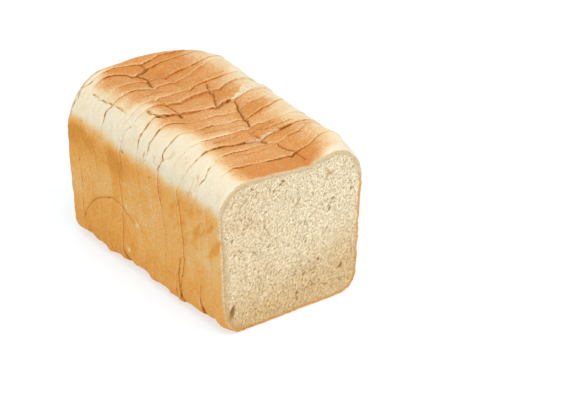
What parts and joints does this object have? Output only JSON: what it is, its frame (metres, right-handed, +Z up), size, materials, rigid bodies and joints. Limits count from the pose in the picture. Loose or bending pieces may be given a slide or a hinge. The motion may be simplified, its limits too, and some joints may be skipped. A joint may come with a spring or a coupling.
{
  "type": "sliced tin loaf",
  "caption": "Rectangular loaf of white bread baked in a tin, cut into slices that stand together, with a rounded heel at the back and a flat cut face at the front.",
  "frame": {"origin": "centre of the flat base", "axes": "+Z up, +Y along the loaf from the open cut face to the heel, +X across the loaf"},
  "size_m": [0.1149, 0.1746, 0.115],
  "materials": {
    "sliced_bread": "matt, golden tin-baked sides and brown top with pale unbaked-looking shoulders, and cream open crumb on the cuts",
    "heel_crust": "matt, golden brown crust"
  },
  "bodies": {
    "root": {"slice_01": "sliced_bread", "slice_02": "sliced_bread", "slice_03": "sliced_bread", "slice_04": "sliced_bread", "slice_05": "sliced_bread", "slice_06": "sliced_bread", "slice_07": "sliced_bread", "slice_08": "sliced_bread", "slice_09": "sliced_bread", "slice_10": "sliced_bread", "slice_11": "sliced_bread", "slice_12": "sliced_bread", "slice_13": "sliced_bread", "heel": "heel_crust"}
  },
  "joints": []
}
